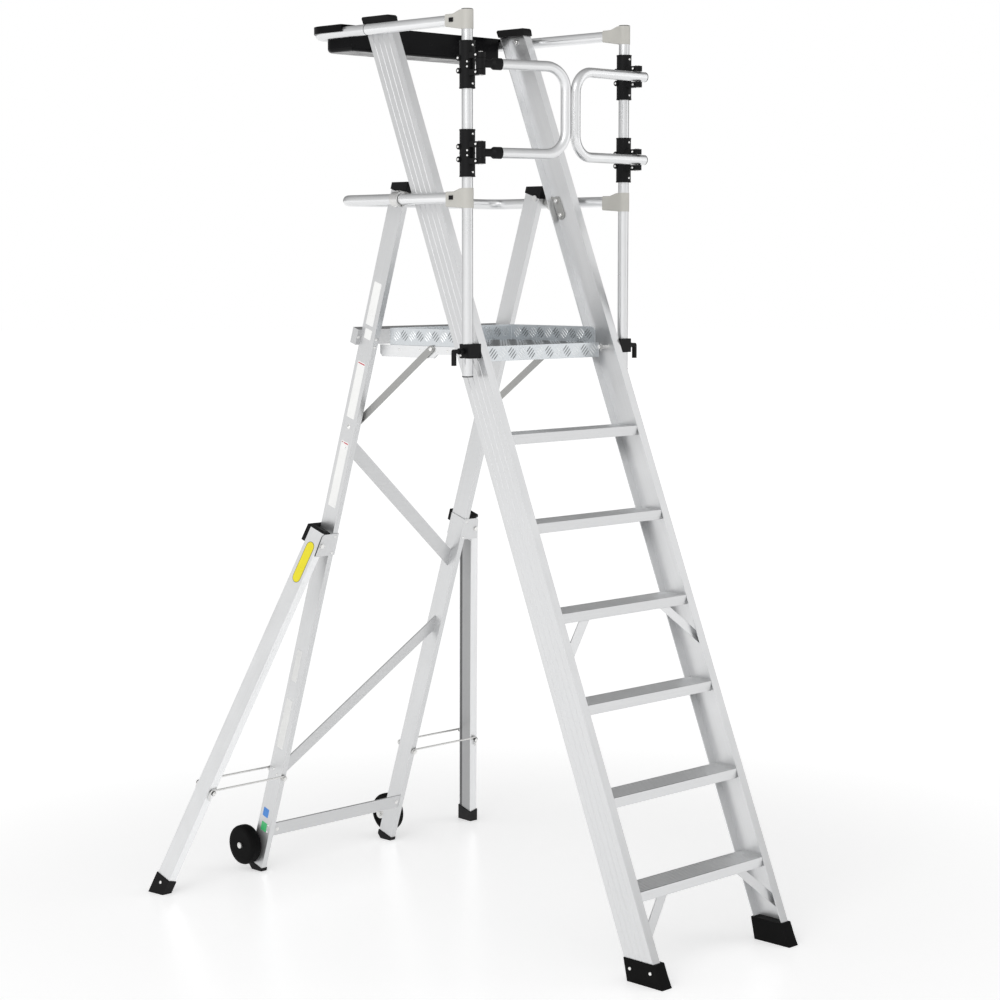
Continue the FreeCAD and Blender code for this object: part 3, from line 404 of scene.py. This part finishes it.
def ring(mesh_data, place, way, inner, outer, low, high):
    """A plain band round an axis."""
    segments = 40
    first, second, way = axes(way)
    rows = []
    for radius, height in ((inner, low), (outer, low), (outer, high), (inner, high)):
        row = []
        for step in range(segments):
            angle = 2 * math.pi * step / segments
            out = first * math.cos(angle) + second * math.sin(angle)
            row.append(mesh_data.verts.new(place + out * radius * MM + way * height * MM))
        rows.append(row)
    for index, one in enumerate(rows):
        two = rows[(index + 1) % len(rows)]
        for step in range(segments):
            after = (step + 1) % segments
            mesh_data.faces.new((one[step], one[after], two[after], two[step]))


# ----------------------------------------------------------------------- chequer plate
BARS = 4
BAR_RISE = 1.0
DECK_CELL, LIP_CELL = 36.0, 39.5


def chequer_bar(mesh_data, centre, along, across, normal, length, width):
    """One raised lens-shaped bar of chequer plate."""
    outline = [(-0.5, 0), (-0.3, -0.42), (0, -0.5), (0.3, -0.42),
               (0.5, 0), (0.3, 0.42), (0, 0.5), (-0.3, 0.42)]
    foot = [mesh_data.verts.new(centre + (along * u * length + across * v * width) * MM)
            for u, v in outline]
    crest = [mesh_data.verts.new(centre + (along * u * length * 0.8 + across * v * width * 0.3
                                           + normal * BAR_RISE) * MM) for u, v in outline]
    mesh_data.faces.new(crest)
    for index in range(len(outline)):
        after = (index + 1) % len(outline)
        mesh_data.faces.new((foot[index], foot[after], crest[after], crest[index]))


def chequer_field(ways, corner, across, up, width, height, cell):
    """Groups of short bars, turned one way and the other in turn; ways has a mesh for each way, and
    each mesh gets its own painted tone: painted sheen for bright bars, painted shade for dark ones.
    """
    normal = across.cross(up).normalized()
    columns, rows = round(width / cell), max(1, round(height / cell))
    step_u, step_v = width / columns, height / rows
    reach = min(cell, step_v) * 0.84
    for column in range(columns):
        for row in range(rows):
            centre = corner + (across * (column + 0.5) * step_u + up * (row + 0.5) * step_v) * MM
            turn = (column + row) % 2
            along = (across * (1 if turn else -1) + up).normalized()
            side = normal.cross(along)
            for index in range(BARS):
                place = index - (BARS - 1) / 2
                shift = place * reach / BARS * 1.10
                length = reach * (1.0 if abs(place) < 1.5 else 0.78)
                chequer_bar(ways[turn], centre + side * shift * MM, along, side, normal,
                            length, reach * 0.125)


def chequer_plate():
    """Bars on the deck, on its front lip and on both faces of its toe boards, with painted sheen on
    one way's bars and painted shade on the other's; every bar on the deck top gets painted shade.
    """
    board = PLATFORM_TOP + 7.0
    bright, smudge_and_painted_shade = bmesh.new(), bmesh.new()
    both = (bright, smudge_and_painted_shade)
    chequer_field((smudge_and_painted_shade, smudge_and_painted_shade), at(-254, 762, PLATFORM_TOP), X, Y, 508, 366, DECK_CELL)
    chequer_field(both, at(-256, 755, PLATFORM_TOP - 43.0), X, Z, 512, 40, LIP_CELL)
    chequer_field(both, at(-252, 1131, board), X, Z, 504, DECK_CELL, LIP_CELL)
    chequer_field(both, at(252, 1135, board), -X, Z, 504, DECK_CELL, LIP_CELL)
    front, rear = 780, 1122
    for side in SIDES:
        near, far = (front, rear) if side < 0 else (rear, front)
        for inset, y, turn in ((258, near, -side), (262, far, side)):
            chequer_field(both, at(side * inset, y, board), Y * turn, Z, rear - front,
                          DECK_CELL, DECK_CELL)
    finish_piece("chequer_bars", bright, BAR_PAINTED_SHEEN, "platform", flat=True)
    finish_piece("chequer_bars_painted_shade", smudge_and_painted_shade, BAR_SHADE, "platform", flat=True)


chequer_plate()


# --------------------------------------------------------------------- gate hinge trim
GATE_HEIGHTS = (2556.0, 2306.0)
PIN_Y = 668.0
SLEEVE_FACE, SLEEVE_RIM, SLEEVE_END = 22.2, 23.2, 67.5


def hinge_trim(side):
    """Bosses and screws on a post's two gate hinges, whose halves are bolted round the post."""
    bosses, screws = bmesh.new(), bmesh.new()
    facing = Vector((side, -1, 0)).normalized()
    for z in GATE_HEIGHTS:
        post = at(side * POST_X, POST_Y, z)
        for rise in (-54, 54):
            screw(screws, post - Y * SLEEVE_FACE * MM + Z * rise * MM, -Y, 3.6, 2.4)
        for rise in (-7, 7):
            screw(screws, post + facing * SLEEVE_FACE * MM + Z * rise * MM, facing, 3.2, 2.2)
        for rise in (-18, 18):
            for out in SIDES:
                foot = post + (X * out * 17 + Y * 12 + Z * rise) * MM
                turned(bosses, foot, X * out, [(8.4, 0), (8.4, 7.0), (7.6, 8.6), (5.0, 8.8)])
                screw(screws, foot + X * out * 8.8 * MM, X * out, 3.8, 2.4)
            for out in SIDES:
                lobe = at(side * POST_X + out * 14, PIN_Y + 5, z + (24 if rise > 0 else -24))
                turned(bosses, lobe - X * out * 0.5 * MM, X * out,
                       [(6.4, 0), (6.4, 1.8), (5.6, 2.6), (4.4, 2.6)])
                screw(screws, lobe + X * out * 2.0 * MM, X * out, 3.8, 2.2)
        for end in (-1, 1):
            ring(bosses, post + Z * end * SLEEVE_END * MM, Z * end, 16.2, SLEEVE_RIM, -4.0, 0.0)
        ring(bosses, post, Z, SLEEVE_FACE - 0.2, SLEEVE_RIM, -2.0, 2.0)
    name = "right" if side > 0 else "left"
    finish_piece("hinge_bosses_" + name, bosses, BLACK, "front_ladder")
    finish_piece("hinge_screws_" + name, screws, SCREW, "front_ladder")


for hand in SIDES:
    hinge_trim(hand)


# ---------------------------------------------------------------- posts, rails and clamps
POST_FOOT_Z, ELBOW_TOP_Z = 1668, 2711
TUBE_SEAMS = ((1150.0, UPPER_RAIL_Z), (1002.4, LOWER_RAIL_Z), (1033.6, LOWER_RAIL_Z))
PLATFORM_PIN = (757, 1735)
FOLD_BOLTS = ((950.0, 2142.0), (969.0, 2186.0))
BOOT_RIVETS = ((109.0, 38.5), (33.5, 40.0))


def post_plugs():
    """Black end plugs in the posts' feet, caps on the elbows and the seams of the rails' tubes."""
    plugs = bmesh.new()
    for side in SIDES:
        turned(plugs, at(side * POST_X, POST_Y, POST_FOOT_Z), -Z,
               [(15.8, -6), (15.8, 0), (16.6, 0.2), (16.6, 2.2), (15.4, 3.4), (9, 3.6)], 36)
        turned(plugs, at(side * POST_X, POST_Y, ELBOW_TOP_Z), Z,
               [(16.8, -1), (16.8, 1.2), (15.6, 2.2), (6, 2.8)], 36)
        for y, z in TUBE_SEAMS:
            ring(plugs, at(side * POST_X, y, z), Y, 15.6, 16.35, -0.7, 0.7)
    finish_piece("post_plugs", plugs, BLACK, "front_ladder")


def ladder_fixings():
    """Screws, nuts and rivets of the ring clamps, post clamps, platform pins, plates and boots."""
    bolts = bmesh.new()
    for side in SIDES:
        out = X * side
        screw(bolts, at(side * POST_X, 1018, LOWER_RAIL_Z) - Z * 20.0 * MM + out * 8 * MM,
              -Z, 4.5, 3.0)
        rivet(bolts, at(side * 351.3, POST_Y + 11, 1728), out, 3.6, 1.6)
        nut(bolts, at(side * 296.5, *PLATFORM_PIN) - out * 34.5 * MM, -out, 6.5, 4.0)
        rivet(bolts, at(side * 301.2, *PLATFORM_PIN), out, 7.0, 2.4)
        for y, z in FOLD_BOLTS:
            screw(bolts, at(side * 290.1, y, z), -out, 6.2, 2.0)
        screw(bolts, at(side * 291.2, 1147, 2688), -out, 7.4, 2.0)
        for y, z in BOOT_RIVETS:
            rivet(bolts, at(side * 305.2, y, z), out, 5.2, 1.8)
    finish_piece("ladder_fixings", bolts, SCREW, "front_ladder")


post_plugs()
ladder_fixings()


# -------------------------------------------------------------------------- tool tray
def tray_trim():
    """Ribs on the tray's walls and floor, and rivets along its rim."""
    wall_foot, wall_rise, floor_top, rim_top = 2640, 54, 2632.8, 2705.8
    ribs = bmesh.new()
    for x in (-204, -102, 0, 102, 204):
        upright = [(0, 0), (3, 0), (3, wall_rise), (0, wall_rise)]
        slab(ribs, at(x - 1.5, 1248, wall_foot), X, Z, upright, -3.2)
        slab(ribs, at(x - 1.5, 1377.2, wall_foot), X, Z, upright, 3.2)
        slab(ribs, at(x - 1.5, 1250, floor_top), X, Y, [(0, 0), (3, 0), (3, 125), (0, 125)], 2.2)
    rivets = [(side * 334, y) for side in SIDES for y in (1262, 1300, 1338, 1372)]
    for x, y in rivets + [(x, 1401) for x in (-200, 0, 200)]:
        rivet(ribs, at(x, y, rim_top), Z, 4.2, 1.6)
    finish_piece("tray_ribs", ribs, TRAY_BLACK, "front_ladder",
                 soften_mm=0.6)


tray_trim()


# ------------------------------------------------------------------- rear frame fixings
BRACE_ENDS = {-1: (1505, 366), 1: (1069, 827)}
CROSSBAR_S = 163
WHEEL_BOLT = (1797.0, 85.5)


def rear_fixings():
    """Fixings of the struts, braces, crossbar, rear beam, outriggers, stays and wheels."""
    heads = bmesh.new()
    for side in SIDES:
        out = X * side
        rivet(heads, leg_at(side * LEG_FACE, -1.0, 1566.0), out, 7.0, 2.6)
        for middle in BRACE_ENDS[side]:
            rivet(heads, leg_at(side * LEG_FACE, -9, middle - 6), out, 4.2, 1.8)
            rivet(heads, leg_at(side * LEG_FACE, 9, middle + 6), out, 4.2, 1.8)
        for s_place in (152, 176):
            rivet(heads, leg_at(side * LEG_FACE, -18, s_place), out, 4.2, 1.8)
        for x, d, s_place in ((LEG_MIDDLE, -31.2, 1836), (LEG_MIDDLE, -31.2, 1861),
                              (304.5, LEG_HALF_DEPTH, 1848)):
            screw(heads, leg_at(side * x, d, s_place), -LEG_OUT, 4.6, 2.4)
        nut(heads, leg_at(side * 264.0, -30.0, CROSSBAR_S), -LEG_OUT, 5.0, 3.0)
        nut(heads, leg_at(side * HINGE_X, -37.2, HINGE_S), -LEG_OUT, 5.6, 3.0)
        for way in SIDES:
            nut(heads, leg_at(side * LEG_MIDDLE, way * 42.4, STAY_S), LEG_OUT * way, 5.4, 3.2)
        for rise in (-28.0, 28.0):
            rivet(heads, leg_at(side * 286.0, -34.0, HINGE_S + rise), -LEG_OUT, 4.2, 1.8)
        screw(heads, at(side * 342.2, *WHEEL_BOLT), out, 7.0, 2.2)
    finish_piece("rear_fixings", heads, SCREW, "rear_frame")


def bracket_painted_shade_strips():
    """A thin black plate behind the front of each outrigger's bracket: painted shade, a dark line
    standing for the shaded gap at the plate's edge.
    """
    low, high = -34.0, 30.0
    plates = bmesh.new()
    for side in SIDES:
        slab(plates, leg_at(side * 326, -LEG_HALF_DEPTH, HINGE_S), X * side, LEG_WAY,
             [(-4, low), (27.2, low), (15.0, high), (-4, high)], 0.9 * -side)
    finish_piece("bracket_painted_shade_strips", plates, BLACK, "rear_frame")


rear_fixings()
bracket_painted_shade_strips()


def outrigger_fixings():
    """Painted shade on each outrigger's inner side, its shoe's rivet and the nuts of its stay bolt.
    """
    panel_low, panel_high = -1176.0, -46.0
    for side, body in ((-1, "outrigger_l"), (1, "outrigger_r")):
        heads = bmesh.new()
        rivet(heads, outrigger_at(side, 16.4, 0.0, -1198.0), outrigger_side(side), 5.4, 2.2)
        for way in SIDES:
            nut(heads, leg_at(side * STAY_X, way * 42.2, STAY_S), LEG_OUT * way, 5.4, 3.2)
        finish_piece("outrigger_rivet_" + body[-1], heads, SCREW, body)
        # Painted shade: a mid-grey sheet and, towards the rear, a near-black one laid on the inner
        # face where the channel's inside would lie in shadow.
        for name, front, rear, finish in (("outrigger_painted_shade_", -26.0, 15.0, PAINTED_SHADE_PANEL),
                                          ("outrigger_shade_", 15.0, 27.0, INSIDE_SHADE)):
            panel = bmesh.new()
            outline = [(-side * depth, up) for depth, up in
                       ((front, panel_low), (rear, panel_low), (rear, panel_high),
                        (front, panel_high))]
            slab(panel, outrigger_at(side, -OUTRIGGER_HALF, 0.0, 0.0), LEG_OUT * -side,
                 outrigger_way(side), outline, 0.2)
            finish_piece(name + body[-1], panel, finish, body, flat=True)


outrigger_fixings()


def strut_fixings():
    """The rivet at each strut's upper end."""
    for side, body in ((-1, "strut_l"), (1, "strut_r")):
        heads = bmesh.new()
        rivet(heads, at(side * 270.4, 948, 1738), X * side, 7.0, 2.6)
        finish_piece("strut_rivet_" + body[-1], heads, SCREW, body)


strut_fixings()


def platform_fixings():
    """The rivets along the platform's side rails."""
    heads = bmesh.new()
    for side in SIDES:
        for y in (800, 880, 1000, 1090):
            rivet(heads, at(side * 264.0, y, 1733), X * side, 4.0, 1.6)
    finish_piece("platform_rivets", heads, SCREW, "platform")


platform_fixings()


# ------------------------------------------------------------------------------ labels
# Each label on the left rear leg: name, distance behind the leg's centre line, lower and
# upper end along the leg, width, finish, slot, and whether it has a coloured band.
LEG_LABELS = (
    ("label_leg_top", 3.0, 1896.0, 2032.0, 33.0, LABEL_WHITE, "label_white", False),
    ("label_leg_small", 0.0, 1853.0, 1884.0, 30.0, LABEL_WHITE, "label_white", False),
    ("label_leg_upper", 1.0, 1596.0, 1778.0, 34.0, LABEL_WHITE, "label_white", True),
    ("label_leg_middle", 0.0, 1300.0, 1518.0, 34.0, LABEL_WHITE, "label_white", True),
    ("label_leg_lower", 4.0, 690.0, 800.0, 24.0, LABEL_WHITE, "label_white", False),
    ("label_leg_foot", 4.0, 450.0, 625.0, 30.0, LABEL_WHITE, "label_white", False),
    ("sticker_blue", 4.0, 197.0, 228.0, 27.0, LABEL_BLUE, "label_colour", False),
    ("sticker_green", 0.0, 147.0, 178.0, 27.0, LABEL_GREEN, "label_colour", False),
)


def leg_labels():
    """Thin plain labels on the left rear leg's outer face."""
    side = -1
    for name, d, low, high, width, finish, slot, banded in LEG_LABELS:
        plate = bmesh.new()
        slab(plate, leg_at(side * LEG_FACE, d, (low + high) / 2), LEG_OUT * side, LEG_WAY,
             rounded(width, high - low, 3.0), 0.25)
        finish_piece(name, plate, finish, "rear_frame")
        if banded:
            band = bmesh.new()
            slab(band, leg_at(side * (LEG_FACE + 0.2), d, high - 5.0), LEG_OUT * side, LEG_WAY,
                 rounded(width - 4.0, 3.6, 0.8), 0.18)
            finish_piece(name + "_band", band, LABEL_RED, "rear_frame")


def outrigger_label():
    """The yellow label with a dark rim on the left outrigger's outer face."""
    side = -1
    for name, long, wide, lift, thick, finish in (
            ("label_outrigger_rim", 138.0, 36.0, OUTRIGGER_HALF, 0.2, LABEL_DARK),
            ("label_outrigger", 135.0, 33.0, OUTRIGGER_HALF + 0.2, 0.25, LABEL_YELLOW)):
        plate = bmesh.new()
        slab(plate, outrigger_at(side, lift, -2.0, -71.0), LEG_OUT * side, outrigger_way(side),
             rounded(wide, long, wide / 2 - 0.1, 10), thick)
        finish_piece(name, plate, finish, "outrigger_l")


leg_labels()
outrigger_label()


# ---------------------------------------------------------------------------- stage
FLOOR_RADIUS = 60.0
MATT_WITHIN, BRIGHT_BEYOND = 1.0, 3.0
FLOOR_PAINT, FLOOR_GLOW = 0.76, 0.49
SKY_SLOPE, SKY_LEVEL = (-0.40, -0.22, -0.10), 0.62
LIGHT_TARGET = (0, 0, 1.2)


def stage_floor():
    """A round white floor: matt near the ladder, to take the soft shadows, and glowing far out."""
    floor_mesh = bmesh.new()
    bmesh.ops.create_circle(floor_mesh, cap_ends=True, segments=96, radius=FLOOR_RADIUS)
    mesh = bpy.data.meshes.new("floor")
    floor_mesh.to_mesh(mesh)
    floor_mesh.free()
    floor = bpy.data.objects.new("floor", mesh)
    bpy.context.scene.collection.objects.link(floor)
    material, nodes, links, shader = new_material("floor_paint")
    shader.inputs["Roughness"].default_value = 0.28
    shader.inputs["Emission Strength"].default_value = 1.0
    coords = nodes.new("ShaderNodeTexCoord")
    far = nodes.new("ShaderNodeVectorMath")
    far.operation = "LENGTH"
    links.new(coords.outputs["Object"], far.inputs[0])
    reach = add(nodes, "ShaderNodeMapRange", From_Min=MATT_WITHIN, From_Max=BRIGHT_BEYOND)
    reach.interpolation_type = "SMOOTHSTEP"
    links.new(far.outputs["Value"], reach.inputs["Value"])
    paint = ramp(nodes, [(0.0, grey(FLOOR_PAINT)), (1.0, grey(0.0))])
    glow = ramp(nodes, [(0.0, grey(FLOOR_GLOW)), (1.0, grey(1.0))])
    for fade, socket in ((paint, "Base Color"), (glow, "Emission Color")):
        links.new(reach.outputs["Result"], fade.inputs["Fac"])
        links.new(fade.outputs["Color"], shader.inputs[socket])
    mesh.materials.append(material)


def soft_light(name, place, size, power):
    """A square soft light that faces the ladder's middle."""
    lamp = bpy.data.lights.new(name, "AREA")
    lamp.shape = "RECTANGLE"
    lamp.size = lamp.size_y = size
    lamp.energy = power
    holder = bpy.data.objects.new(name, lamp)
    holder.location = place
    aim = Vector(LIGHT_TARGET) - Vector(place)
    holder.rotation_euler = aim.to_track_quat("-Z", "Y").to_euler()
    bpy.context.scene.collection.objects.link(holder)


def studio():
    """A white studio, brighter to the front and left, dimmer behind and above, with two lights."""
    world = bpy.data.worlds.new("studio")
    bpy.context.scene.world = world
    world.use_nodes = True
    nodes, links = world.node_tree.nodes, world.node_tree.links
    sky = nodes["Background"]
    coords = nodes.new("ShaderNodeTexCoord")
    slope = nodes.new("ShaderNodeVectorMath")
    slope.operation = "DOT_PRODUCT"
    slope.inputs[1].default_value = SKY_SLOPE
    links.new(coords.outputs["Generated"], slope.inputs[0])
    level = nodes.new("ShaderNodeMath")
    level.inputs[1].default_value = SKY_LEVEL
    links.new(slope.outputs["Value"], level.inputs[0])
    seen = nodes.new("ShaderNodeLightPath")
    pick = nodes.new("ShaderNodeMix")
    pick.inputs[3].default_value = 1.0
    links.new(seen.outputs["Is Camera Ray"], pick.inputs[0])
    links.new(level.outputs["Value"], pick.inputs[2])
    links.new(pick.outputs[0], sky.inputs["Strength"])
    sky.inputs["Color"].default_value = (1, 1, 1, 1)
    soft_light("key", (-4.5, -1.5, 4.6), 3.0, 60)
    soft_light("fill", (4.2, -3.8, 3.8), 4.5, 48)


def camera():
    """The camera: its place in metres, and its dip and heading in degrees."""
    place, dip, heading = (-4.9447, -4.9492, 2.0000), 5.974, 44.98
    lens = bpy.data.cameras.new("camera")
    lens.lens = 82.356
    lens.sensor_width = 36.0
    holder = bpy.data.objects.new("camera", lens)
    holder.location = place
    holder.rotation_euler = (math.radians(90 - dip), 0, -math.radians(heading))
    bpy.context.scene.collection.objects.link(holder)
    bpy.context.scene.camera = holder


stage_floor()
studio()
camera()
bpy.context.scene.view_settings.view_transform = "Standard"
